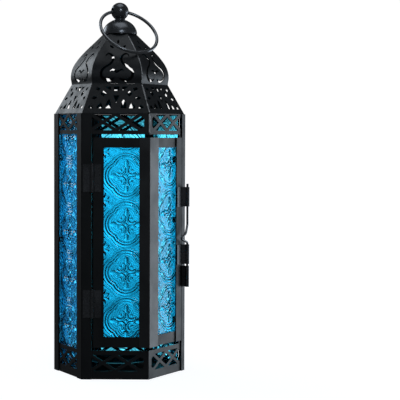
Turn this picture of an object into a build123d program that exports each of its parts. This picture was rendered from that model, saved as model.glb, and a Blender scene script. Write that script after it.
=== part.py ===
"""Hexagonal candle lantern: sheet-metal frame, glazed sides, two-sided hinged door with a wire slide
bolt, pierced roof in two tiers, ball finial with a hanging ring, and a low candle cup inside.

Row frame: +Z up, origin at the middle of the underside of the base. The front side faces -Y.
Sides are numbered 0 front, 1 right front, 2 right back, 3 back, 4 left back, 5 left front.
Corner j lies between side j and side j + 1. The door covers sides 0 and 1."""

from build123d import *
from math import atan2, cos, degrees, hypot, radians, sin, tan
import os

os.makedirs("parts", exist_ok=True)

# ---------------------------------------------------------------- driving dimensions, in mm
SIDE = 45.0  # side of the hexagon, outside the corner posts
AP = SIDE * cos(radians(30))  # distance from the axis to a side, outside the posts
POST_T = 0.8  # corner posts and door stiles
SHEET_T = 0.6  # pierced bands, rails and roof
BODY_H = 175.7  # top of the posts
AP_BAND = AP - POST_T  # outside of the pierced bands
AP_PANE = AP_BAND - SHEET_T - 0.07  # outside of the glass
PANE_T = 2.0
POST_LEG = 7.2
HINGE_POST_LEG = 6.8  # the hinge post's leg on the door side
LATCH_POST_LEG = 4.2  # the latch post's leg on the door side
SEAM = 0.06  # half the joint gap between folded sheets

LOW_BAND = (0.0, 19.1)
LOW_LATTICE = (5.6, 16.2)
UP_BAND = (161.9, 175.7)
UP_LATTICE = (164.5, 175.0)
LATTICE_HALF = 18.6  # half width of the pierced window
LATTICE_PITCH = 16.6  # a bar climbs the lattice in this run
BAR_W = 2.15

DOOR_Z = (21.1, 159.8)
GLASS_Z = (28.2, 153.1)  # what shows between the rails
DOOR_U0 = -14.65  # hinge edge of the door on side 0
STILE_IN = -7.7  # inner edge of the hinge stile on side 0
CORNER_IN0 = 15.65  # inner edge of the corner angle on side 0
CORNER_IN1 = -11.7  # inner edge of the corner angle on side 1
LATCH_IN = 11.2  # inner edge of the latch stile on side 1
DOOR_U1 = 17.8  # free edge of the door on side 1

HINGE_U = -15.2  # hinge axis, along side 0
BARREL_R = 1.35
PIN_R = 0.7
PIN_HOLE_R = 0.76
LEAF_T = 0.5
HINGE_N = AP + BARREL_R + 0.03  # hinge axis, out from the middle
HINGE_Z = ((41.1, 59.3), (124.0, 142.2))

BOLT_R = 0.8
EYE_IN_R = 0.88
EYE_R = 1.4
BOLT_U = 20.5  # bolt axis along side 1
BOLT_N = AP + 3.0  # bolt axis, out from the middle
GUIDE_Z = ((73.6, 87.0), (112.9, 126.2))
KEEPER_Z = (57.9, 72.3)
BOLT_Z = (67.4, 128.4)

SKIRT_Z = (175.75, 195.4)
SKIRT_AP = (38.25, 28.45)
DOME_Z0 = 195.45
CAP_Z = (229.9, 239.4)
CAP_R = 11.7
BALL_R = 6.0
BALL_Z = 245.3
RING_R = 20.0
WIRE_R = 1.1
RING_LEAN = 43.5  # degrees from hanging straight down
RING_AZ = 30.0  # the ring leans towards corner 0, degrees from -Y to +X
RING_HOLE_R = 2.15

CUP_R = 21.4
CUP_H = 7.1
RIVET_X = 9.0  # two rivets beside the axis keep the cup from turning


def side_plane(k, apothem, z=0.0):
    """Plane of side k at that apothem: local x runs along the side, local y is up, and its normal points out."""
    a = radians(-90 + 60 * k)
    n = (cos(a), sin(a), 0)
    x = (cos(radians(60 * k)), sin(radians(60 * k)), 0)
    return Plane(origin=(apothem * n[0], apothem * n[1], z), x_dir=x, z_dir=n)


def on_side(k, u, apothem):
    """Plan position of the point u along side k, at that distance out."""
    a = radians(-90 + 60 * k)
    t = radians(60 * k)
    return (apothem * cos(a) + u * cos(t), apothem * sin(a) + u * sin(t))


def corner(j, apothem):
    a = radians(-60 + 60 * j)
    r = apothem / cos(radians(30))
    return (r * cos(a), r * sin(a))


def wedge_points(length=70.0, gap=SEAM):
    """Plan triangle of side 0 between its two hip planes, drawn back by the joint gap."""
    y0 = -2 * gap
    return [(0, y0), (-length * tan(radians(30)), -length + y0), (length * tan(radians(30)), -length + y0)]


# ---------------------------------------------------------------- base
with BuildPart() as base_plate:
    with BuildSketch():
        RegularPolygon(AP_BAND - SHEET_T - 0.08, 6, major_radius=False, rotation=0)
    extrude(amount=0.8)
    with Locations((-RIVET_X, 0, 0), (RIVET_X, 0, 0)):
        Hole(1.56, depth=2.0)
base_plate.part.label = "base_plate"

with BuildPart() as candle_cup:
    with BuildSketch(Plane.XZ):
        with BuildLine():
            Polyline(
                (0, 0.82), (CUP_R - 1.2, 0.82), (CUP_R - 0.35, 1.2), (CUP_R, 2.0),
                (CUP_R, CUP_H + 0.2), (CUP_R + 1.5, CUP_H + 0.2), (CUP_R + 1.5, CUP_H + 0.8),
                (CUP_R - 0.6, CUP_H + 0.8), (CUP_R - 0.6, 2.2), (CUP_R - 1.3, 1.42), (0, 1.42),
                close=True,
            )
        make_face()
    revolve(axis=Axis.Z)
    with Locations((-RIVET_X, 0, 1.42), (RIVET_X, 0, 1.42)):
        Hole(1.56, depth=2.0)
candle_cup.part.label = "candle_cup"

with BuildPart() as cup_rivets:
    for x in (-RIVET_X, RIVET_X):
        with BuildSketch(Plane.XZ.offset(0).move(Location((x, 0, 0)))):
            with BuildLine():
                Polyline((0, 0), (1.5, 0), (1.5, 1.45), (2.9, 1.45), (2.5, 1.85), (1.4, 2.08), (0, 2.08), close=True)
            make_face()
        revolve(axis=Axis((x, 0, 0), (0, 0, 1)))
cup_rivets.part.label = "cup_rivets"


# ---------------------------------------------------------------- pierced bands
def lattice_openings(z0, z1):
    """Openings of one lattice window: the window less crossing bars."""
    h = z1 - z0
    with BuildSketch(Plane.XY, mode=Mode.PRIVATE) as sk:
        with Locations((0, (z0 + z1) / 2)):
            Rectangle(2 * LATTICE_HALF, h)
        run = hypot(LATTICE_PITCH, h)
        slope = degrees(atan2(h, LATTICE_PITCH))
        for cx, sgn in ((-1.5, 1), (-0.5, -1), (0.5, 1), (1.5, -1)):
            with Locations(Location((cx * LATTICE_PITCH, (z0 + z1) / 2, 0), (0, 0, sgn * slope))):
                Rectangle(run + 2.5, BAR_W, mode=Mode.SUBTRACT)
            with Locations(Location((cx * LATTICE_PITCH, (z0 + z1) / 2, 0), (0, 0, -sgn * slope))):
                Rectangle(run + 2.5, BAR_W, mode=Mode.SUBTRACT)
    return sk.sketch


def band_panel(band, lattice):
    with BuildPart() as panel:
        with BuildSketch(side_plane(0, AP_BAND)):
            with Locations((0, (band[0] + band[1]) / 2)):
                Rectangle(60, band[1] - band[0])
        extrude(amount=-SHEET_T)
        with BuildSketch(Plane.XY.offset(band[0] - 1)):
            Polygon(*wedge_points(gap=0.0), align=None)
        extrude(amount=band[1] - band[0] + 2, mode=Mode.INTERSECT)
        with BuildSketch(side_plane(0, AP_BAND + 1)):
            add(lattice_openings(*lattice))
        extrude(amount=-SHEET_T - 2, mode=Mode.SUBTRACT)
    return panel.part


def folded_band(panel, band):
    """Six sides folded from one strip, whose two ends meet at corner 0 with a hairline seam."""
    with BuildPart() as ring:
        with PolarLocations(0, 6):
            add(panel)
        c = corner(0, AP_BAND)
        with BuildSketch(Plane(origin=(c[0], c[1], (band[0] + band[1]) / 2), x_dir=(-sin(radians(-60)), cos(radians(-60)), 0), z_dir=(cos(radians(-60)), sin(radians(-60)), 0)).offset(-3)):
            Rectangle(2 * SEAM, band[1] - band[0] + 2)
        extrude(amount=6, mode=Mode.SUBTRACT)
    return ring.part


with BuildPart() as lower_lattice_band:
    add(folded_band(band_panel(LOW_BAND, LOW_LATTICE), LOW_BAND))
lower_lattice_band.part.label = "lower_lattice_band"

with BuildPart() as upper_lattice_band:
    add(folded_band(band_panel(UP_BAND, UP_LATTICE), UP_BAND))
upper_lattice_band.part.label = "upper_lattice_band"


# ---------------------------------------------------------------- angles: corner posts and the door's corner
def angle_points(j, leg_a, leg_b, apothem, t):
    """Plan outline of an angle strip over corner j: leg_a lies on side j, leg_b on side j + 1."""
    half = apothem * tan(radians(30))
    inner = (apothem - t) * tan(radians(30))
    return [
        corner(j, apothem),
        on_side(j, half - leg_a, apothem),
        on_side(j, half - leg_a, apothem - t),
        corner(j, apothem - t),
        on_side(j + 1, -half + leg_b, apothem - t),
        on_side(j + 1, -half + leg_b, apothem),
    ]


def angle_strip(j, leg_a, leg_b, z0, z1, apothem=AP, t=POST_T):
    with BuildPart() as strip:
        with BuildSketch(Plane.XY.offset(z0)) as outline:
            with BuildLine():
                Polyline(*angle_points(j, leg_a, leg_b, apothem, t), close=True)
            make_face()
            c = corner(j, apothem)
            fillet(outline.vertices().sort_by_distance((c[0], c[1], z0))[0], 0.9)
        extrude(amount=z1 - z0)
    return strip.part


with BuildPart() as post_latch:
    add(angle_strip(1, LATCH_POST_LEG, POST_LEG, 0, BODY_H))
post_latch.part.label = "post_latch_side"

with BuildPart() as post_back_right:
    add(angle_strip(2, POST_LEG, POST_LEG, 0, BODY_H))
post_back_right.part.label = "post_back_right"

with BuildPart() as post_back_left:
    add(angle_strip(3, POST_LEG, POST_LEG, 0, BODY_H))
post_back_left.part.label = "post_back_left"

with BuildPart() as post_left:
    add(angle_strip(4, POST_LEG, POST_LEG, 0, BODY_H))
post_left.part.label = "post_left"

with BuildPart() as post_hinge:
    add(angle_strip(5, POST_LEG, HINGE_POST_LEG, 0, BODY_H))
post_hinge.part.label = "post_hinge_side"

# strip behind the latch post that the door closes against
with BuildPart() as door_stop:
    with BuildSketch(side_plane(1, AP_BAND)):
        with Locations(((16.0 + 20.9) / 2, (LOW_BAND[1] + UP_BAND[0]) / 2)):
            Rectangle(20.9 - 16.0, UP_BAND[0] - LOW_BAND[1] - 0.2)
    extrude(amount=-SHEET_T)
door_stop.part.label = "door_stop_strip"


# ---------------------------------------------------------------- glass and its clips
def pane(k, u0, u1, z0, z1):
    with BuildPart() as p:
        with BuildSketch(side_plane(k, AP_PANE)):
            with Locations(((u0 + u1) / 2, (z0 + z1) / 2)):
                Rectangle(u1 - u0, z1 - z0)
        extrude(amount=-PANE_T)
    return p.part


PANE_HALF = 17.5
fixed_panes = []
for k, name in ((2, "pane_right_back"), (3, "pane_back"), (4, "pane_left_back"), (5, "pane_left_front")):
    with BuildPart() as fixed:
        add(pane(k, -PANE_HALF, PANE_HALF, 0.85, 174.6))
    fixed.part.label = name
    fixed_panes.append(fixed.part)

with BuildPart() as door_pane_front:
    add(pane(0, STILE_IN - 2.4, CORNER_IN0 + 2.4, 24.2, 157.0))
door_pane_front.part.label = "door_pane_front"
with BuildPart() as door_pane_side:
    add(pane(1, CORNER_IN1 - 2.3, LATCH_IN + 2.3, 24.2, 157.0))
door_pane_side.part.label = "door_pane_side"

CLIP_T = 0.5
CLIP_IN = AP_PANE - PANE_T - 0.05  # inside face of the glass, less a little


def clip(k, edge, direction, z):
    """Folded tab behind a stile or post that holds the pane's edge. direction +1: the pane lies on the -x side of the edge."""
    d = direction
    pts = [
        (edge + d * 0.08, AP_BAND), (edge + d * (0.08 + CLIP_T), AP_BAND),
        (edge + d * (0.08 + CLIP_T), CLIP_IN - CLIP_T), (edge - d * 2.0, CLIP_IN - CLIP_T),
        (edge - d * 2.0, CLIP_IN), (edge + d * 0.08, CLIP_IN),
    ]
    with BuildPart() as c:
        with BuildSketch(Plane.XY.offset(z - 2.0)):
            with BuildLine():
                Polyline(*[on_side(k, u, n) for u, n in pts], close=True)
            make_face()
        extrude(amount=4.0)
    return c.part


with BuildPart() as pane_clips:
    for k in (2, 3, 4, 5):
        for z in (34.0, 90.0, 146.0):
            add(clip(k, PANE_HALF, 1, z))
            add(clip(k, -PANE_HALF, -1, z))
pane_clips.part.label = "pane_clips"

with BuildPart() as door_pane_clips:
    for z in (36.0, 104.0, 145.0):
        add(clip(0, STILE_IN - 2.4, -1, z))
        add(clip(0, CORNER_IN0 + 2.4, 1, z))
        add(clip(1, CORNER_IN1 - 2.3, -1, z))
        add(clip(1, LATCH_IN + 2.3, 1, z))
door_pane_clips.part.label = "door_pane_clips"


# ---------------------------------------------------------------- door
def strip_on_side(k, u0, u1, z0, z1, apothem, t):
    with BuildPart() as s:
        with BuildSketch(side_plane(k, apothem)):
            with Locations(((u0 + u1) / 2, (z0 + z1) / 2)):
                Rectangle(u1 - u0, z1 - z0)
        extrude(amount=-t)
    return s.part


with BuildPart() as door_stile_hinge:
    add(strip_on_side(0, DOOR_U0, STILE_IN, *DOOR_Z, AP, POST_T))
door_stile_hinge.part.label = "door_stile_hinge_side"

with BuildPart() as door_corner:
    add(angle_strip(0, SIDE / 2 - CORNER_IN0, SIDE / 2 + CORNER_IN1, *DOOR_Z))
door_corner.part.label = "door_corner_angle"

with BuildPart() as door_stile_latch:
    add(strip_on_side(1, LATCH_IN, DOOR_U1, *DOOR_Z, AP, POST_T))
door_stile_latch.part.label = "door_stile_latch_side"


def door_rail(k, z0, z1):
    """Rail behind the stiles across side k, mitred where the two sides of the door meet."""
    gap = 0.08
    end = AP_BAND * tan(radians(30)) - gap
    end_in = (AP_BAND - SHEET_T) * tan(radians(30)) - gap
    free = DOOR_U0 + 0.3 if k == 0 else DOOR_U1 - 2.2
    d = 1 if k == 0 else -1
    with BuildPart() as rail:
        with BuildSketch(Plane.XY.offset(z0)):
            with BuildLine():
                Polyline(
                    on_side(k, free, AP_BAND), on_side(k, d * end, AP_BAND),
                    on_side(k, d * end_in, AP_BAND - SHEET_T), on_side(k, free, AP_BAND - SHEET_T), close=True,
                )
            make_face()
        extrude(amount=z1 - z0)
    return rail.part


with BuildPart() as door_top_rail_front:
    add(door_rail(0, GLASS_Z[1], DOOR_Z[1] - 0.15))
door_top_rail_front.part.label = "door_top_rail_front"
with BuildPart() as door_top_rail_side:
    add(door_rail(1, GLASS_Z[1], DOOR_Z[1] - 0.15))
door_top_rail_side.part.label = "door_top_rail_side"
with BuildPart() as door_bottom_rail_front:
    add(door_rail(0, DOOR_Z[0] + 0.15, GLASS_Z[0]))
door_bottom_rail_front.part.label = "door_bottom_rail_front"
with BuildPart() as door_bottom_rail_side:
    add(door_rail(1, DOOR_Z[0] + 0.15, GLASS_Z[0]))
door_bottom_rail_side.part.label = "door_bottom_rail_side"

# ---------------------------------------------------------------- hinges
HX, HY = on_side(0, HINGE_U, HINGE_N)


def hinge_leaf(z0, z1, direction, edge, own):
    """One leaf with two of the four knuckles. direction -1: the leaf lies on the post, +1 on the door."""
    d = direction
    k_h = (z1 - z0) / 4
    with BuildPart() as leaf:
        with BuildSketch(side_plane(0, AP + 0.01)):
            near = HINGE_U + d * (BARREL_R + 0.12)
            with Locations(((near + edge) / 2, (z0 + z1) / 2)):
                RectangleRounded(abs(edge - near), z1 - z0, 0.3)
        extrude(amount=LEAF_T)
        for i in own:
            a, b = z0 + i * k_h + 0.04, z0 + (i + 1) * k_h - 0.04
            with BuildSketch(Plane.XY.offset(a)):
                with Locations((HX, HY)):
                    Circle(BARREL_R)
                with BuildLine():
                    u1 = HINGE_U + d * (BARREL_R + 1.0)
                    Polyline(
                        on_side(0, HINGE_U, AP + 0.01 + 0.02), on_side(0, u1, AP + 0.01),
                        on_side(0, u1, AP + 0.01 + LEAF_T), on_side(0, HINGE_U, AP + 0.01 + LEAF_T), close=True,
                    )
                make_face()
            extrude(amount=b - a)
        with BuildSketch(Plane.XY.offset(z0 - 1)):
            with Locations((HX, HY)):
                Circle(PIN_HOLE_R)
        extrude(amount=z1 - z0 + 2, mode=Mode.SUBTRACT)
    return leaf.part


def hinge_pin(z0, z1):
    with BuildPart() as pin:
        with BuildSketch(Plane.XY.offset(z0 - 0.1)):
            with Locations((HX, HY)):
                Circle(PIN_R)
        extrude(amount=z1 - z0 + 0.2)
        for z, sgn in ((z0 - 0.08, -1), (z1 + 0.08, 1)):
            with BuildSketch(Plane.XY.offset(z)):
                with Locations((HX, HY)):
                    Circle(1.1)
            extrude(amount=sgn * 0.5, taper=25)
    return pin.part


(lz0, lz1), (uz0, uz1) = HINGE_Z
with BuildPart() as upper_hinge_frame_leaf:
    add(hinge_leaf(uz0, uz1, -1, -21.4, (0, 2)))
upper_hinge_frame_leaf.part.label = "upper_hinge_frame_leaf"
with BuildPart() as upper_hinge_door_leaf:
    add(hinge_leaf(uz0, uz1, 1, -9.3, (1, 3)))
upper_hinge_door_leaf.part.label = "upper_hinge_door_leaf"
with BuildPart() as upper_hinge_pin:
    add(hinge_pin(uz0, uz1))
upper_hinge_pin.part.label = "upper_hinge_pin"
with BuildPart() as lower_hinge_frame_leaf:
    add(hinge_leaf(lz0, lz1, -1, -21.4, (0, 2)))
lower_hinge_frame_leaf.part.label = "lower_hinge_frame_leaf"
with BuildPart() as lower_hinge_door_leaf:
    add(hinge_leaf(lz0, lz1, 1, -9.3, (1, 3)))
lower_hinge_door_leaf.part.label = "lower_hinge_door_leaf"
with BuildPart() as lower_hinge_pin:
    add(hinge_pin(lz0, lz1))
lower_hinge_pin.part.label = "lower_hinge_pin"

# ---------------------------------------------------------------- latch
BX, BY = on_side(1, BOLT_U, BOLT_N)


def eye_strap(z0, z1, foot_u0, foot_u1, eye_r):
    """Sheet strap in plan: a foot flat on side 1 from foot_u0 to foot_u1, a web out to the bolt, and a rolled eye round it."""
    t = LEAF_T
    n0 = AP + 0.01
    # the web runs from the foot's end to the eye's near side
    ex, en = BOLT_U, BOLT_N
    du, dn = ex - foot_u1, en - (n0 + t / 2)
    length = hypot(du, dn)
    wu, wn = du / length, dn / length
    pu, pn = -wn, wu
    a = (foot_u1, n0 + t / 2)
    with BuildPart() as strap:
        with BuildSketch(Plane.XY.offset(z0)):
            with BuildLine():
                Polyline(on_side(1, foot_u0, n0), on_side(1, foot_u1, n0), on_side(1, foot_u1, n0 + t), on_side(1, foot_u0, n0 + t), close=True)
            make_face()
            with Locations(on_side(1, a[0], a[1])):
                Circle(t / 2)
            with BuildLine():
                Polyline(
                    on_side(1, a[0] + pu * t / 2, a[1] + pn * t / 2), on_side(1, ex + pu * t / 2, en + pn * t / 2),
                    on_side(1, ex - pu * t / 2, en - pn * t / 2), on_side(1, a[0] - pu * t / 2, a[1] - pn * t / 2), close=True,
                )
            make_face()
            with Locations((BX, BY)):
                Circle(eye_r)
        extrude(amount=z1 - z0)
        with BuildSketch(Plane.XY.offset(z0 - 1)):
            with Locations((BX, BY)):
                Circle(EYE_IN_R)
        extrude(amount=z1 - z0 + 2, mode=Mode.SUBTRACT)
    return strap.part


with BuildPart() as upper_guide:
    add(eye_strap(*GUIDE_Z[1], 11.6, 17.3, EYE_R))
upper_guide.part.label = "bolt_guide_upper"
with BuildPart() as lower_guide:
    add(eye_strap(*GUIDE_Z[0], 11.6, 17.3, EYE_R))
lower_guide.part.label = "bolt_guide_lower"


with BuildPart() as keeper:
    n0 = AP + 0.01
    with BuildSketch(Plane.XY.offset(KEEPER_Z[0])):
        with BuildLine():
            Polyline(on_side(1, 18.6, n0), on_side(1, 21.7, n0), on_side(1, 21.7, n0 + LEAF_T), on_side(1, 18.6, n0 + LEAF_T), close=True)
        make_face()
        with BuildLine():
            Polyline(
                on_side(1, BOLT_U - 0.27, n0), on_side(1, BOLT_U + 0.27, n0),
                on_side(1, BOLT_U + 0.27, BOLT_N), on_side(1, BOLT_U - 0.27, BOLT_N), close=True,
            )
        make_face()
        with Locations((BX, BY)):
            Circle(1.3)
    extrude(amount=KEEPER_Z[1] - KEEPER_Z[0])
    with BuildSketch(Plane.XY.offset(KEEPER_Z[0] - 1)):
        with Locations((BX, BY)):
            Circle(EYE_IN_R + 0.02)
    extrude(amount=KEEPER_Z[1] - KEEPER_Z[0] + 2, mode=Mode.SUBTRACT)
keeper.part.label = "bolt_keeper"

# the bolt is one wire with a pointed thumb bend that lies towards the door's window
t1 = radians(60)
BOLT_PLANE = Plane(origin=(BX, BY, 0), x_dir=(-cos(t1), -sin(t1), 0), z_dir=(-cos(radians(-30)) * -1, -sin(radians(-30)) * -1, 0))
with BuildPart() as slide_bolt:
    # in BOLT_PLANE, x runs from the bolt's axis over the door; the sketch's y may point up or down, so heights are signed
    up = 1 if BOLT_PLANE.y_dir.Z > 0 else -1
    path_pts = [(0, BOLT_Z[1]), (0, 100.2), (1.9, 94.6), (7.2, 92.0), (7.2, 90.9), (0, 88.3), (0, BOLT_Z[0])]
    with BuildLine(BOLT_PLANE) as bolt_path:
        FilletPolyline(*[(x, up * z) for x, z in path_pts], radius=[3.0, 2.2, 0.5, 0.5, 1.0])
    with BuildSketch(Plane(origin=bolt_path.line @ 0, z_dir=bolt_path.line % 0)):
        Circle(BOLT_R)
    sweep()
slide_bolt.part.label = "slide_bolt"


# ---------------------------------------------------------------- roof skirt
slope_run = SKIRT_AP[0] - SKIRT_AP[1]
slope_rise = SKIRT_Z[1] - SKIRT_Z[0]
SLANT = hypot(slope_run, slope_rise)
SKIRT_PLANE = Plane(
    origin=(0, -SKIRT_AP[0], SKIRT_Z[0]), x_dir=(1, 0, 0), z_dir=(0, -slope_rise / SLANT, slope_run / SLANT)
)


# One skirt panel's piercings: ribs that cross as interlaced arches. Each outline is for the right half, as (u, v)
# in the panel's plane, v rising from its lower edge, and is mirrored to the left.
MIRRORED_PIERCINGS = [
    [(3.6, 19.8), (7.8, 19.8), (5.8, 18.0), (4.0, 16.9)],
    [(10.6, 18.5), (13.4, 19.4), (14.1, 17.7), (11.7, 16.4)],
    [(6.3, 14.6), (8.6, 16.8), (10.7, 14.4), (8.6, 12.2)],
    [(12.4, 11.6), (14.7, 12.6), (16.5, 11.0), (14.3, 9.8)],
    [(3.0, 3.6), (6.9, 3.6), (6.8, 6.6), (5.9, 9.3), (4.6, 10.3), (3.7, 8.6)],
    [(8.6, 3.6), (13.0, 3.6), (12.2, 5.9), (10.1, 7.8), (9.1, 6.0)],
    [(14.7, 3.6), (18.5, 3.6), (17.8, 5.1), (15.9, 6.4)],
]
CENTRE_PIERCINGS = [
    [(-1.9, 19.8), (1.9, 19.8), (1.5, 16.6), (-1.5, 16.6)],
    [(-2.1, 13.2), (2.1, 13.2), (0.9, 10.2), (0, 7.6), (-0.9, 10.2)],
]

with BuildPart() as skirt_panel:
    with BuildSketch(SKIRT_PLANE):
        with Locations((0, SLANT / 2)):
            Rectangle(60, SLANT)
    extrude(amount=-SHEET_T)
    with BuildSketch(Plane.XY.offset(SKIRT_Z[0])):
        Polygon(*wedge_points(), align=None)
    extrude(amount=30, mode=Mode.INTERSECT)
    with BuildSketch(SKIRT_PLANE.offset(1)) as skirt_cut:
        for pts in CENTRE_PIERCINGS:
            Polygon(*pts, align=None)
        for sgn in (-1, 1):
            for pts in MIRRORED_PIERCINGS:
                Polygon(*[(sgn * x, y) for x, y in pts], align=None)
    extrude(amount=-SHEET_T - 2, mode=Mode.SUBTRACT)

SIDE_NAMES = ("front", "right_front", "right_back", "back", "left_back", "left_front")
roof_panels = []
for k, side_name in enumerate(SIDE_NAMES):
    with BuildPart() as roof_skirt:
        add(skirt_panel.part.rotate(Axis.Z, 60 * k))
    roof_skirt.part.label = f"roof_skirt_{side_name}"
    roof_panels.append(roof_skirt.part)

# ---------------------------------------------------------------- roof dome
c30 = cos(radians(30))
profile = [
    (32.85, DOME_Z0), (33.35, 199.0), (33.2, 203.0), (32.1, 206.8), (29.7, 210.9), (25.9, 215.6),
    (21.4, 220.2), (16.9, 224.4), (13.3, 227.9), (11.2, 229.8),
]
profile = [(r * c30, z) for r, z in profile]
with BuildPart() as dome_panel:
    with BuildSketch(Plane.YZ.offset(-30)):
        with BuildLine():
            outer = Spline(*[(-a, z) for a, z in profile], tangents=((0.0, 1.0), (0.72, 0.7)))
            inner = Spline(
                *[
                    (-(profile[i][0]) + dx, profile[i][1] + dz)
                    for i, (dx, dz) in enumerate(
                        [(0.6, 0), (0.6, 0.0), (0.6, -0.03), (0.53, -0.27), (0.49, -0.36), (0.45, -0.41), (0.42, -0.43), (0.42, -0.43), (0.42, -0.43), (0.42, -0.43)]
                    )
                ],
                tangents=((0.0, 1.0), (0.72, 0.7)),
            )
            Line(outer @ 0, inner @ 0)
            Line(outer @ 1, inner @ 1)
        make_face()
    extrude(amount=60)
    with BuildSketch(Plane.XY.offset(DOME_Z0 - 2)):
        Polygon(*wedge_points(), align=None)
    extrude(amount=50, mode=Mode.INTERSECT)

# lyre scrolls, a moustache and drops, drawn as seen from the front and cut straight through
scroll = [
    (-7.6, 18.0), (-7.2, 19.3), (-5.8, 20.0), (-4.2, 19.4), (-3.0, 17.9), (-2.75, 15.9), (-3.8, 13.7), (-6.5, 11.7),
    (-9.1, 9.6), (-10.4, 6.9), (-9.8, 4.2), (-7.3, 2.5), (-4.2, 2.4), (-1.7, 3.7),
]
width = [0.5, 0.8, 1.1, 1.35, 1.55, 1.6, 1.55, 1.45, 1.6, 1.8, 1.95, 2.0, 1.7, 0.8]


def ribbon(points, widths, mirror_x=1):
    """Outline of a ribbon of changing width along the points."""
    left, right = [], []
    n = len(points)
    for i, (x, y) in enumerate(points):
        x0, y0 = points[max(i - 1, 0)]
        x1, y1 = points[min(i + 1, n - 1)]
        d = hypot(x1 - x0, y1 - y0)
        nx, ny = -(y1 - y0) / d, (x1 - x0) / d
        w = widths[i] / 2
        left.append((mirror_x * (x + nx * w), y + ny * w))
        right.append((mirror_x * (x - nx * w), y - ny * w))
    return left, right


def ribbon_face(points, widths, dz, mirror_x=1):
    left, right = ribbon(points, widths, mirror_x)
    left = [(x, y + dz) for x, y in left]
    right = [(x, y + dz) for x, y in right]
    with BuildSketch(Plane.XY, mode=Mode.PRIVATE) as sk:
        with BuildLine():
            a = Spline(*left)
            b = Spline(*right)
            Line(a @ 0, b @ 0)
            Line(a @ 1, b @ 1)
        make_face()
    return sk.sketch


moustache = [(-4.5, 8.2), (-3.2, 9.1), (-1.6, 8.6), (0, 7.7), (1.6, 8.6), (3.2, 9.1), (4.5, 8.2)]
moustache_w = [0.4, 1.0, 1.3, 1.5, 1.3, 1.0, 0.4]

with BuildPart() as pierced_dome_panel:
    add(dome_panel.part)
    with BuildSketch(side_plane(0, 45.0)):
        add(ribbon_face(scroll, width, DOME_Z0))
        add(ribbon_face(scroll, width, DOME_Z0, -1))
        add(ribbon_face(moustache, moustache_w, DOME_Z0))
        with Locations((0, DOME_Z0 + 28.4)):
            Ellipse(0.75, 1.35)
        with Locations(Location((-4.0, DOME_Z0 + 24.8, 0), (0, 0, 55))):
            Ellipse(0.75, 1.6)
        with Locations(Location((4.0, DOME_Z0 + 24.8, 0), (0, 0, -55))):
            Ellipse(0.75, 1.6)
    extrude(amount=-44.5, mode=Mode.SUBTRACT)

for k, side_name in enumerate(SIDE_NAMES):
    with BuildPart() as roof_dome:
        add(pierced_dome_panel.part.rotate(Axis.Z, 60 * k))
    roof_dome.part.label = f"roof_dome_{side_name}"
    roof_panels.append(roof_dome.part)

# ---------------------------------------------------------------- finial
STUD_R = 1.9
with BuildPart() as crown_plate:
    with BuildSketch(Plane.XY.offset(226.2)):
        Circle(9.6)
        Circle(STUD_R + 0.1, mode=Mode.SUBTRACT)
    extrude(amount=0.8)
crown_plate.part.label = "crown_plate"

with BuildPart() as finial_cap:
    with BuildSketch(Plane.XZ):
        with BuildLine():
            rim = Line((CAP_R, CAP_Z[0]), (CAP_R, CAP_Z[0] + 0.6))
            dome_top = Spline((CAP_R, CAP_Z[0] + 0.6), (10.6, 234.2), (8.2, 237.1), (5.2, 239.0), (3.6, 239.45), tangents=((0, 1), (-1, 0.05)))
            Polyline((3.6, 239.45), (3.6, 240.4), (STUD_R + 0.08, 240.4), (STUD_R + 0.08, 238.5), (5.0, 238.2))
            dome_in = Spline((5.0, 238.2), (7.7, 236.4), (10.0, 233.8), (CAP_R - 0.7, CAP_Z[0] + 0.6))
            Polyline((CAP_R - 0.7, CAP_Z[0] + 0.6), (CAP_R - 0.7, CAP_Z[0]), (CAP_R, CAP_Z[0]))
        make_face()
    revolve(axis=Axis.Z)
finial_cap.part.label = "finial_cap"

HOLE_DIR = (cos(radians(RING_AZ)), sin(radians(RING_AZ)), 0)
with BuildPart() as finial_ball:
    with Locations((0, 0, BALL_Z)):
        Sphere(BALL_R)
    with BuildSketch(Plane.XY.offset(BALL_Z - BALL_R - 3)):
        Circle(20)
    extrude(amount=240.45 - (BALL_Z - BALL_R - 3), mode=Mode.SUBTRACT)
    with BuildSketch(Plane.XY.offset(236.0)):
        Circle(STUD_R + 0.02)
    extrude(amount=242.3 - 236.0, mode=Mode.SUBTRACT)
    with BuildSketch(Plane(origin=(-12 * HOLE_DIR[0], -12 * HOLE_DIR[1], BALL_Z), z_dir=HOLE_DIR)):
        Circle(RING_HOLE_R)
    extrude(amount=24, mode=Mode.SUBTRACT)
finial_ball.part.label = "finial_ball"

with BuildPart() as finial_stud:
    with BuildSketch(Plane.XY.offset(222.2)):
        Circle(STUD_R)
    extrude(amount=242.2 - 222.2)
    chamfer(finial_stud.edges().filter_by(GeomType.CIRCLE), 0.3)
finial_stud.part.label = "finial_stud"

with BuildPart() as finial_nut:
    with BuildSketch(Plane.XY.offset(223.4)):
        RegularPolygon(3.9, 6)
        Circle(STUD_R + 0.03, mode=Mode.SUBTRACT)
    extrude(amount=2.75)
finial_nut.part.label = "finial_nut"

# ring: its top passes through the cross hole of the ball
lean = radians(RING_LEAN)
az = radians(RING_AZ)
LEAN_DIR = (sin(az), -cos(az))
down = (sin(lean) * LEAN_DIR[0], sin(lean) * LEAN_DIR[1], -cos(lean))
ring_centre = (RING_R * down[0], RING_R * down[1], BALL_Z + RING_R * down[2])
normal = Vector(*down).cross(Vector(*HOLE_DIR))
with BuildPart() as hang_ring:
    # the wire's ends meet at the side of the ring, with a hairline gap
    ring_plane = Plane(origin=ring_centre, x_dir=down, z_dir=normal)
    with BuildSketch(Plane(origin=ring_centre, x_dir=HOLE_DIR, z_dir=down)):
        with Locations((RING_R, 0)):
            Circle(WIRE_R)
    revolve(axis=Axis(ring_centre, normal), revolution_arc=359.2)
hang_ring.part.label = "hanging_ring"

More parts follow.
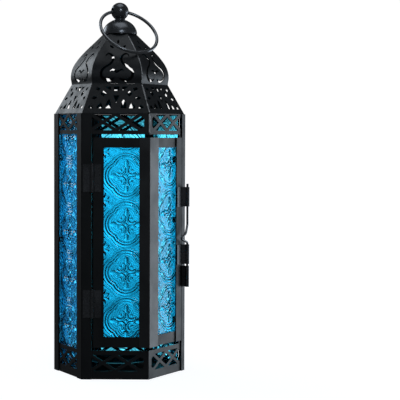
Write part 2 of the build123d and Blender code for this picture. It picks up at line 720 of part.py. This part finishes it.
# ---------------------------------------------------------------- export, one STEP per node
nodes = [
    base_plate, candle_cup, cup_rivets,
    lower_lattice_band, upper_lattice_band, post_latch, post_back_right, post_back_left, post_left, post_hinge,
    door_stop, door_pane_front, door_pane_side, pane_clips, door_pane_clips,
    door_stile_hinge, door_corner, door_stile_latch,
    door_top_rail_front, door_top_rail_side, door_bottom_rail_front, door_bottom_rail_side,
    upper_hinge_frame_leaf, upper_hinge_door_leaf, upper_hinge_pin,
    lower_hinge_frame_leaf, lower_hinge_door_leaf, lower_hinge_pin,
    upper_guide, lower_guide, keeper, slide_bolt,
    crown_plate, finial_cap, finial_ball, finial_stud, finial_nut, hang_ring,
]
for name in nodes:
    export_step(name.part, f"parts/{name.part.label}.step")
for p in fixed_panes + roof_panels:
    export_step(p, f"parts/{p.label}.step")
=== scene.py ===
import math
import random

import bpy
import numpy as np
from mathutils import Matrix, Vector


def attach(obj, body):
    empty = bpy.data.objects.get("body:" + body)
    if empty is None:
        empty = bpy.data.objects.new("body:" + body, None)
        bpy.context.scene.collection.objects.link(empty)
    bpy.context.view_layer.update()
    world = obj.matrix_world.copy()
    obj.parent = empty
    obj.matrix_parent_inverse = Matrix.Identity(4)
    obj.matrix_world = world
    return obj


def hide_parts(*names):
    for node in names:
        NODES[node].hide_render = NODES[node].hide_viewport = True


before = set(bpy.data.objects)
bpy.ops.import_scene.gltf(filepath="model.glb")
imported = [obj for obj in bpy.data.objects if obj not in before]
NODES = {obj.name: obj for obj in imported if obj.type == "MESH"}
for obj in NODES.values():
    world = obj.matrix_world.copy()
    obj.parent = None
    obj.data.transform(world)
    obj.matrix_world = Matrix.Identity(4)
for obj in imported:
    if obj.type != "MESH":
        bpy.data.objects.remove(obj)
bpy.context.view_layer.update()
scene = bpy.context.scene
MM = 0.001
COS30 = math.cos(math.radians(30))


# ------------------------------------------------------------------ materials
def new_material(name):
    m = bpy.data.materials.new(name)
    m.use_nodes = True
    nt = m.node_tree
    nt.nodes.clear()
    out = nt.nodes.new("ShaderNodeOutputMaterial")
    bsdf = nt.nodes.new("ShaderNodeBsdfPrincipled")
    nt.links.new(bsdf.outputs["BSDF"], out.inputs["Surface"])
    return m, nt, bsdf


def noise(nt, coord, scale, detail=2.0, rough=0.5):
    n = nt.nodes.new("ShaderNodeTexNoise")
    n.inputs["Scale"].default_value = scale
    n.inputs["Detail"].default_value = detail
    n.inputs["Roughness"].default_value = rough
    nt.links.new(coord, n.inputs["Vector"])
    return n.outputs["Fac"]


def remap(nt, fac, a, b, lo, hi):
    r = nt.nodes.new("ShaderNodeMapRange")
    for i, v in ((1, a), (2, b), (3, lo), (4, hi)):
        r.inputs[i].default_value = v
    nt.links.new(fac, r.inputs[0])
    return r.outputs[0]


def paint(name, dark, light, rough, spec=0.4, grain=0.25, metal=0.0, coat=0.0):
    """Sprayed black paint: mottled colour and gloss, and a fine orange-peel grain."""
    m, nt, b = new_material(name)
    co = nt.nodes.new("ShaderNodeTexCoord").outputs["Object"]
    patch = noise(nt, co, 70, 4)
    speck = noise(nt, co, 1400, 2)
    ramp = nt.nodes.new("ShaderNodeMix")
    ramp.data_type = "RGBA"
    ramp.inputs["A"].default_value = (*dark, 1)
    ramp.inputs["B"].default_value = (*light, 1)
    mixf = nt.nodes.new("ShaderNodeMath")
    mixf.operation = "MULTIPLY_ADD"
    nt.links.new(patch, mixf.inputs[0])
    mixf.inputs[1].default_value = 0.55
    nt.links.new(remap(nt, speck, 0.35, 0.7, 0.0, 0.45), mixf.inputs[2])
    nt.links.new(mixf.outputs[0], ramp.inputs["Factor"])
    nt.links.new(ramp.outputs["Result"], b.inputs["Base Color"])
    nt.links.new(remap(nt, patch, 0.3, 0.7, rough - 0.06, rough + 0.08), b.inputs["Roughness"])
    b.inputs["Specular IOR Level"].default_value = spec
    b.inputs["Metallic"].default_value = metal
    b.inputs["Coat Weight"].default_value = coat
    bump = nt.nodes.new("ShaderNodeBump")
    bump.inputs["Strength"].default_value = grain
    bump.inputs["Distance"].default_value = 0.00008
    nt.links.new(speck, bump.inputs["Height"])
    nt.links.new(bump.outputs["Normal"], b.inputs["Normal"])
    return m


def glass(name, tint, painted_roof_shade=None):
    """Pressed coloured glass. The relief is in the mesh; the nodes add the fine stipple between the ridges."""
    m, nt, b = new_material(name)
    co = nt.nodes.new("ShaderNodeTexCoord").outputs["Object"]
    cloud = noise(nt, co, 45, 3)
    mix = nt.nodes.new("ShaderNodeMix")
    mix.data_type = "RGBA"
    mix.inputs["A"].default_value = (*[c * 0.86 for c in tint], 1)
    mix.inputs["B"].default_value = (*[min(1.0, c * 1.06) for c in tint], 1)
    nt.links.new(remap(nt, cloud, 0.3, 0.7, 0, 1), mix.inputs["Factor"])
    colour = mix.outputs["Result"]
    # Painted shade: from 161.5 to 165.5 mm up, the pane's colour darkens to a set fraction of the tint, standing in
    # for the shade the roof casts on the top of the panes.
    if painted_roof_shade is not None:
        sep = nt.nodes.new("ShaderNodeSeparateXYZ")
        nt.links.new(co, sep.inputs[0])
        shade = nt.nodes.new("ShaderNodeMix")
        shade.data_type = "RGBA"
        nt.links.new(colour, shade.inputs["A"])
        shade.inputs["B"].default_value = (*[c * painted_roof_shade for c in tint], 1)
        nt.links.new(remap(nt, sep.outputs["Z"], 0.1615, 0.1655, 0.0, 1.0), shade.inputs["Factor"])
        colour = shade.outputs["Result"]
    nt.links.new(colour, b.inputs["Base Color"])
    b.inputs["Specular Tint"].default_value = (0.42, 0.84, 1.0, 1)
    b.inputs["Transmission Weight"].default_value = 1.0
    b.inputs["IOR"].default_value = 1.47
    b.inputs["Specular IOR Level"].default_value = 0.17
    b.inputs["Roughness"].default_value = 0.03
    stipple = noise(nt, co, 1150, 1.5, 0.6)
    bump = nt.nodes.new("ShaderNodeBump")
    bump.inputs["Strength"].default_value = 0.30
    bump.inputs["Distance"].default_value = 0.00012
    nt.links.new(stipple, bump.inputs["Height"])
    nt.links.new(bump.outputs["Normal"], b.inputs["Normal"])
    return m


PAINT = paint("black_paint", (0.0030, 0.0042, 0.0052), (0.0062, 0.0080, 0.0095), 0.42, spec=0.36, grain=0.3)
ROOF = paint("roof_paint", (0.0035, 0.0048, 0.0062), (0.0120, 0.0145, 0.0175), 0.40, spec=0.36, grain=0.8)
FINIAL = paint("finial_paint", (0.07, 0.074, 0.082), (0.15, 0.157, 0.17), 0.25, spec=0.9, grain=0.12, metal=0.75)
WIRE = paint("wire_paint", (0.04, 0.043, 0.047), (0.10, 0.105, 0.11), 0.25, spec=1.0, grain=0.08, metal=0.6, coat=0.6)
RING = paint("ring_paint", (0.10, 0.105, 0.113), (0.22, 0.23, 0.245), 0.23, spec=1.0, grain=0.08, metal=0.75, coat=0.6)
# Painted highlight: light paint on the bevelled edges stands in for the light that the sheet edges catch.
EDGE_HIGHLIGHT = paint("painted_edge_highlight", (0.020, 0.022, 0.025), (0.48, 0.49, 0.52), 0.32, spec=0.9, grain=0.2, metal=0.3)
HINGE = paint("hinge_paint", (0.010, 0.0115, 0.013), (0.10, 0.105, 0.115), 0.27, spec=0.8, grain=0.6, metal=0.5)
CORNER = paint("corner_paint", (0.0040, 0.0052, 0.0064), (0.0085, 0.0105, 0.0125), 0.36, spec=0.60, grain=0.3)
STEEL = paint("plain_steel", (0.28, 0.28, 0.285), (0.42, 0.42, 0.43), 0.34, metal=1.0, grain=0.2)
SOLDER = paint("painted_solder", (0.012, 0.013, 0.015), (0.95, 0.96, 0.98), 0.30, spec=0.9, metal=0.5, grain=0.7)
TINT = (0.075, 0.61, 0.84)
GLASS = glass("blue_glass", TINT)
# Painted shade: a darker, bluer copy of the same glass for the left-front pane, standing in for that side taking less
# light.
GLASS_LEFT_SHADED = glass("blue_glass_left_shaded", (0.050, 0.52, 1.0))
# Rear panes: the same glass with painted shade darkening their tops under the roof.
GLASS_REAR_ROOF_SHADED = glass("blue_glass_rear", TINT, painted_roof_shade=0.34)

for name, obj in NODES.items():
    if name.startswith("roof_"):
        mat = ROOF
    elif name in ("finial_cap", "finial_ball"):
        mat = FINIAL
    elif name == "hanging_ring":
        mat = RING
    elif name == "slide_bolt":
        mat = WIRE
    elif "hinge" in name and ("leaf" in name or "pin" in name) or name.startswith("bolt_"):
        mat = HINGE
    elif name == "door_corner_angle":
        mat = CORNER
    elif name in ("finial_stud", "finial_nut", "cup_rivets"):
        mat = STEEL
    else:
        mat = PAINT
    obj.data.materials.clear()
    obj.data.materials.append(mat)
    if mat in (PAINT, ROOF, HINGE, CORNER):
        # The bevel carries the painted edge highlight: light paint along every sharp edge, where the edges catch
        # light.
        bevel = obj.modifiers.new("edge_highlight_bevel", "BEVEL")
        bevel.width = 0.00022
        bevel.material = 1
        obj.data.materials.append(EDGE_HIGHLIGHT)
        # straight-edged sheet takes the full width; curved cut-outs keep Blender's clamp
        bevel.use_clamp_overlap = not (name.startswith(("door_", "post_", "roof_skirt", "lower_lattice", "upper_lattice")))
        bevel.segments = 2
        bevel.limit_method = "ANGLE"
        bevel.angle_limit = math.radians(40)
        bevel.harden_normals = True

# ------------------------------------------------------------------ pressed glass panes
PITCH = 31.9
LOBE_R = 9.6
LOBE_D = 4.6
RELIEF = 0.72
PANE_T = 2.0
AP_PANE = 45.0 * COS30 - 0.8 - 0.6 - 0.07


def ridge(d, width):
    """Half-round ridge: 1 on its line, 0 at half its width."""
    t = np.clip(1 - (2 * d / width) ** 2, 0, None)
    return t


def drop(x, y, length, width):
    """Teardrop boss lying along x, blunt end outwards."""
    t = np.clip((x + length / 2) / length, 0, 1)
    w = width / 2 * np.sqrt(np.clip(np.sin(np.pi * t ** 1.25), 1e-6, None))
    inside = (np.abs(x) < length / 2) & (np.abs(y) < w)
    return np.where(inside, np.clip(1 - (y / w) ** 2, 0, None) * np.clip(np.sin(np.pi * t), 0, None) ** 0.5, 0)


def relief(u, v, u0, v0):
    """Height of the pressed pattern, 0 to 1: quatrefoil medallions on a square grid, flowers between them."""
    x = (u - u0 + PITCH / 2) % PITCH - PITCH / 2
    y = (v - v0 + PITCH / 2) % PITCH - PITCH / 2
    d = np.full_like(x, 1e3)
    for cx, cy in ((LOBE_D, 0), (-LOBE_D, 0), (0, LOBE_D), (0, -LOBE_D)):
        d = np.minimum(d, np.hypot(x - cx, y - cy) - LOBE_R)
    h = 0.90 * ridge(d, 1.9)
    h = np.maximum(h, 0.55 * ridge(d + 1.75, 1.1))
    h = np.maximum(h, 0.45 * ridge(d - 1.65, 1.1))
    # four drops on the axes of the medallion
    for a in range(4):
        c, s = math.cos(a * math.pi / 2), math.sin(a * math.pi / 2)
        xr, yr = x * c + y * s, -x * s + y * c
        h = np.maximum(h, drop(xr - 7.9, yr, 6.0, 3.6))
        # curl in each quadrant, open away from the middle, with a bead in it
        q = a * math.pi / 2 + math.pi / 4
        cx, cy = 5.3 * math.cos(q), 5.3 * math.sin(q)
        px, py = x - cx, y - cy
        ang = np.arccos(np.clip(-(px * math.cos(q) + py * math.sin(q)) / np.maximum(np.hypot(px, py), 1e-6), -1, 1))
        fade = np.clip((1.95 - ang) / 0.35, 0, 1)
        h = np.maximum(h, 0.9 * fade * ridge(np.hypot(px, py) - 3.0, 1.6))
        h = np.maximum(h, 0.65 * np.sqrt(np.clip(1 - (np.hypot(px, py) / 0.75) ** 2, 0, None)))
    h = np.maximum(h, 0.7 * np.sqrt(np.clip(1 - (np.hypot(x, y) / 1.0) ** 2, 0, None)))
    # flower in the middle of each four medallions
    fx = (u - u0) % PITCH - PITCH / 2
    fy = (v - v0) % PITCH - PITCH / 2
    for a in range(8):
        t = a * math.pi / 4 + math.pi / 8
        xr = fx * math.cos(t) + fy * math.sin(t)
        yr = -fx * math.sin(t) + fy * math.cos(t)
        h = np.maximum(h, 0.42 * drop(xr - 3.3, yr, 3.9, 2.1))
    h = np.maximum(h, 0.8 * np.sqrt(np.clip(1 - (np.hypot(fx, fy) / 1.0) ** 2, 0, None)))
    # low concentric ribs, inside and outside the medallions
    inner = np.clip((-d - 2.6) / 0.8, 0, 1) * np.clip((np.hypot(x, y) - 3.5) / 2, 0, 1)
    outer = np.clip((d - 2.2) / 0.6, 0, 1) * np.clip((np.hypot(fx, fy) - 5.4) / 0.8, 0, 1)
    rib = 0.5 + 0.5 * np.cos(2 * np.pi * d / 1.25)
    h = np.maximum(h, 0.20 * rib * np.maximum(inner, outer))
    return h


def pane_mesh(name, ua, ub, za, zb, u0, v0, step, mat=None):
    """Closed pane: pressed relief outside, flat inside, in side 0's place."""
    nu = max(2, int(round((ub - ua) / step)) + 1)
    nv = max(2, int(round((zb - za) / step)) + 1)
    us, vs = np.linspace(ua, ub, nu), np.linspace(za, zb, nv)
    U, V = np.meshgrid(us, vs)
    H = relief(U, V, u0, v0)
    edge = np.minimum(np.minimum(U - ua, ub - U), np.minimum(V - za, zb - V))
    H *= np.clip(edge / 0.6, 0, 1)
    # the pressed surface also wavers a little, as hand-pressed glass does
    H = H * 0.9 + 0.05 * (1 + np.sin(U * 0.31 + V * 0.13) * np.cos(V * 0.19 - U * 0.07))
    out_y = -(AP_PANE - RELIEF + RELIEF * np.clip(H, 0, 1))
    verts = np.stack([U, out_y, V], -1).reshape(-1, 3)
    idx = np.arange(nu * nv).reshape(nv, nu)
    quads = np.stack([idx[:-1, :-1], idx[:-1, 1:], idx[1:, 1:], idx[1:, :-1]], -1).reshape(-1, 4).tolist()
    loop = list(idx[0, :]) + list(idx[1:, -1]) + list(idx[-1, -2::-1]) + list(idx[-2:0:-1, 0])
    back = verts[loop].copy()
    back[:, 1] = -(AP_PANE - PANE_T)
    base = len(verts)
    n = len(loop)
    sides = [[int(loop[i]), base + i, base + (i + 1) % n, int(loop[(i + 1) % n])] for i in range(n)]
    cap = [list(range(base + n - 1, base - 1, -1))]
    me = bpy.data.meshes.new(name)
    me.from_pydata((np.vstack([verts, back]) * MM).tolist(), [], quads + sides + cap)
    me.update()
    smooth = np.zeros(len(me.polygons), bool)
    smooth[: len(quads)] = True
    me.polygons.foreach_set("use_smooth", smooth)
    me.materials.append(mat or GLASS)
    return me


def add_object(name, me, turn=0):
    o = bpy.data.objects.new(name, me)
    o.matrix_world = Matrix.Rotation(math.radians(turn), 4, "Z")
    scene.collection.objects.link(o)
    return o


STEP = 0.27
door_front = add_object("pressed_pane_front", pane_mesh("pressed_pane_front", -10.1, 18.05, 24.2, 157.0, 6.9, 134.6, STEP))
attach(door_front, "door"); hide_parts("door_pane_front")
door_side = add_object("pressed_pane_side", pane_mesh("pressed_pane_side", -14.0, 13.5, 24.2, 157.0, 5.3, 109.2, STEP), 60)
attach(door_side, "door"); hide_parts("door_pane_side")
# The left-front pane takes the darker painted-shade copy of the glass.
left_front = add_object("pressed_pane_left_front", pane_mesh("pressed_pane_left_front", -17.5, 17.5, 0.85, 175.1, -0.9, 127.3, STEP, GLASS_LEFT_SHADED), 300)
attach(left_front, "frame"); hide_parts("pane_left_front")
rear_mesh = pane_mesh("pressed_pane_rear", -17.5, 17.5, 0.85, 175.1, 1.4, 122.0, STEP * 1.4, GLASS_REAR_ROOF_SHADED)
for k, side in ((2, "right_back"), (3, "back"), (4, "left_back")):
    o = add_object("pressed_pane_" + side, rear_mesh, 60 * k)
    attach(o, "frame"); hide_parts("pane_" + side)


# ------------------------------------------------------------------ solder along the front-right seam
def bead_mesh(name, path, seed, r0=0.32, r1=0.62, step=0.55):
    """Ragged line of solder: one tube whose radius wanders and swells into blobs."""
    rnd = random.Random(seed)
    pts = [Vector(p) for p in path]
    dense = []
    for a, b in zip(pts, pts[1:]):
        n = max(1, int((b - a).length / step))
        dense += [a.lerp(b, i / n) for i in range(n)]
    dense.append(pts[-1])
    radii, r = [], r0
    for _ in dense:
        r += rnd.uniform(-0.13, 0.13)
        r = min(max(r, r0 * 0.75), r1)
        radii.append(r * (1.35 if rnd.random() < 0.08 else 1.0))
    radii[0] = radii[-1] = 0.12
    sides = 10
    verts, faces = [], []
    for i, p in enumerate(dense):
        t = (dense[min(i + 1, len(dense) - 1)] - dense[max(i - 1, 0)]).normalized()
        a = t.cross(Vector((0, 0, 1)))
        a = a.normalized() if a.length > 1e-4 else Vector((1, 0, 0))
        b = t.cross(a)
        for j in range(sides):
            w = 2 * math.pi * j / sides
            verts.append((p + radii[i] * (a * math.cos(w) + b * math.sin(w))) * MM)
    for i in range(len(dense) - 1):
        for j in range(sides):
            k = (j + 1) % sides
            faces.append([i * sides + j, i * sides + k, (i + 1) * sides + k, (i + 1) * sides + j])
    faces.append(list(range(sides - 1, -1, -1)))
    faces.append([(len(dense) - 1) * sides + j for j in range(sides)])
    me = bpy.data.meshes.new(name)
    me.from_pydata(verts, [], faces)
    for p in me.polygons:
        p.use_smooth = True
    me.materials.append(SOLDER)
    return me


def ridge_point(r, z, corner=0):
    a = math.radians(-60 + 60 * corner)
    return (r * math.cos(a), r * math.sin(a), z)


SKIRT = [(44.0, 176.2), (38.5, 185.8), (33.1, 195.2)]
DOME = [(32.8, 195.8), (33.3, 199.0), (33.15, 203.0), (32.05, 206.8), (29.65, 210.9), (25.85, 215.6), (21.35, 220.2), (16.85, 224.4), (13.3, 227.8)]
seams = [
    ("solder_skirt_seam", [ridge_point(r + 0.05, z) for r, z in SKIRT], 11, 0.34, 0.62),
    ("solder_dome_seam", [ridge_point(r, z) for r, z in DOME], 12, 0.28, 0.46),
    ("solder_band_seam", [ridge_point(44.15, z) for z in (162.6, 168.0, 175.2)], 13, 0.5, 0.95),
]
for name, path, seed, r0, r1 in seams:
    o = add_object(name, bead_mesh(name, path, seed, r0, r1))
    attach(o, "frame")

# ------------------------------------------------------------------ floor, light, camera
floor_mesh = bpy.data.meshes.new("floor")
floor_mesh.from_pydata([(-6, -6, 0), (6, -6, 0), (6, 6, 0), (-6, 6, 0)], [], [(0, 1, 2, 3)])
floor = bpy.data.objects.new("floor", floor_mesh)
scene.collection.objects.link(floor)
fm, fnt, fb = new_material("pale_floor")
fb.inputs["Base Color"].default_value = (0.30, 0.31, 0.33, 1)
fb.inputs["Roughness"].default_value = 0.6
fb.inputs["Specular IOR Level"].default_value = 0.2
fb.inputs["Emission Color"].default_value = (0.972, 0.984, 1.0, 1)
# Painted shade and painted light: the floor's glow rises from 0.93 within 12 cm of the lantern to 1.03 beyond 70 cm,
# so the floor near the lantern reads as a faint bluish shadow and the far floor is lifted where the lamps' light falls
# off.
fpos = fnt.nodes.new("ShaderNodeTexCoord")
flen = fnt.nodes.new("ShaderNodeVectorMath")
flen.operation = "LENGTH"
fnt.links.new(fpos.outputs["Object"], flen.inputs[0])
fnt.links.new(remap(fnt, flen.outputs["Value"], 0.12, 0.7, 0.93, 1.03), fb.inputs["Emission Strength"])
floor_mesh.materials.append(fm)
floor.visible_glossy = False
floor.visible_diffuse = False
floor.visible_transmission = False
floor.visible_shadow = False

world = bpy.data.worlds.new("studio")
scene.world = world
world.use_nodes = True
wnt = world.node_tree
wnt.nodes.clear()
wout = wnt.nodes.new("ShaderNodeOutputWorld")
white = wnt.nodes.new("ShaderNodeBackground")
white.inputs["Color"].default_value = (1, 1, 1, 1)
white.inputs["Strength"].default_value = 1.02
dim = wnt.nodes.new("ShaderNodeBackground")
dim.inputs["Color"].default_value = (0.9, 0.95, 1, 1)
dim.inputs["Strength"].default_value = 0.07
lp = wnt.nodes.new("ShaderNodeLightPath")
sky = wnt.nodes.new("ShaderNodeTexCoord")
xyz = wnt.nodes.new("ShaderNodeSeparateXYZ")
wnt.links.new(sky.outputs["Generated"], xyz.inputs[0])


def wmath(op, a, b=None):
    n = wnt.nodes.new("ShaderNodeMath")
    n.operation = op
    for i, v in enumerate((a, b)):
        if v is None:
            continue
        if isinstance(v, (int, float)):
            n.inputs[i].default_value = v
        else:
            wnt.links.new(v, n.inputs[i])
    return n.outputs[0]


turn = wmath("SINE", wmath("MULTIPLY", wmath("ADD", wmath("ARCTAN2", xyz.outputs["X"], xyz.outputs["Y"]), 0.105), 7.0))
across = remap(wnt, turn, -0.8, 0.9, 0.04, 0.95)
height = remap(wnt, xyz.outputs["Z"], -0.28, 0.06, 0.15, 1.2)
flags = wmath("MULTIPLY", across, height)
through = wnt.nodes.new("ShaderNodeBackground")
through.inputs["Color"].default_value = (1, 1, 1, 1)
wnt.links.new(wmath("MULTIPLY", flags, 2.45), through.inputs["Strength"])
inner = wnt.nodes.new("ShaderNodeMixShader")
wnt.links.new(lp.outputs["Is Transmission Ray"], inner.inputs[0])
wnt.links.new(dim.outputs[0], inner.inputs[1])
wnt.links.new(through.outputs[0], inner.inputs[2])
wmix = wnt.nodes.new("ShaderNodeMixShader")
wnt.links.new(lp.outputs["Is Camera Ray"], wmix.inputs[0])
wnt.links.new(inner.outputs[0], wmix.inputs[1])
wnt.links.new(white.outputs[0], wmix.inputs[2])
wnt.links.new(wmix.outputs[0], wout.inputs["Surface"])


def softbox(name, pos, target, size, size_y, watts, color=(1, 1, 1)):
    light = bpy.data.lights.new(name, "AREA")
    light.shape = "RECTANGLE"
    light.size, light.size_y, light.energy, light.color = size, size_y, watts, color
    o = bpy.data.objects.new(name, light)
    o.location = pos
    o.rotation_euler = (Vector(target) - Vector(pos)).to_track_quat("-Z", "Y").to_euler()
    o.visible_camera = False
    o.visible_transmission = False
    scene.collection.objects.link(o)
    return o


softbox("left_back_box", (-1.05, 0.85, 0.62), (0, 0, 0.2), 0.8, 0.6, 4.9, (0.86, 0.935, 1.0))
softbox("right_back_box", (1.15, 0.62, -0.02), (0, 0, 0.09), 1.0, 0.62, 5.3, (0.80, 0.90, 1.0))
softbox("top_box", (0.1, -0.1, 1.6), (0, 0, 0.1), 1.2, 1.2, 5.2, (0.88, 0.94, 1.0))
softbox("front_fill", (0.5, -1.6, 0.8), (0, 0, 0.12), 0.5, 0.4, 4.6, (0.80, 0.90, 1.0))

cam_data = bpy.data.cameras.new("camera")
cam_data.sensor_fit = "HORIZONTAL"
cam_data.sensor_width = 36.0
cam_data.lens = 1356.2 * 36.0 / 400.0
cam_data.clip_start, cam_data.clip_end = 0.05, 50
cam = bpy.data.objects.new("camera", cam_data)
scene.collection.objects.link(cam)
pitch, roll = math.radians(2.76), math.radians(0.267)
flat_dir = Vector((-0.00803, 0.99997, 0)).normalized()
right = flat_dir.cross(Vector((0, 0, 1))).normalized()
forward = (flat_dir * math.cos(pitch) + Vector((0, 0, -math.sin(pitch)))).normalized()
up = right.cross(forward).normalized()
r2 = right * math.cos(roll) + up * math.sin(roll)
u2 = up * math.cos(roll) - right * math.sin(roll)
m = Matrix((r2, u2, -forward)).transposed().to_4x4()
m.translation = Vector((0.06257, -0.92729, 0.1619))
cam.matrix_world = m
scene.camera = cam
scene.view_settings.view_transform = "Standard"
scene.view_settings.look = "None"

bpy.context.view_layer.update()
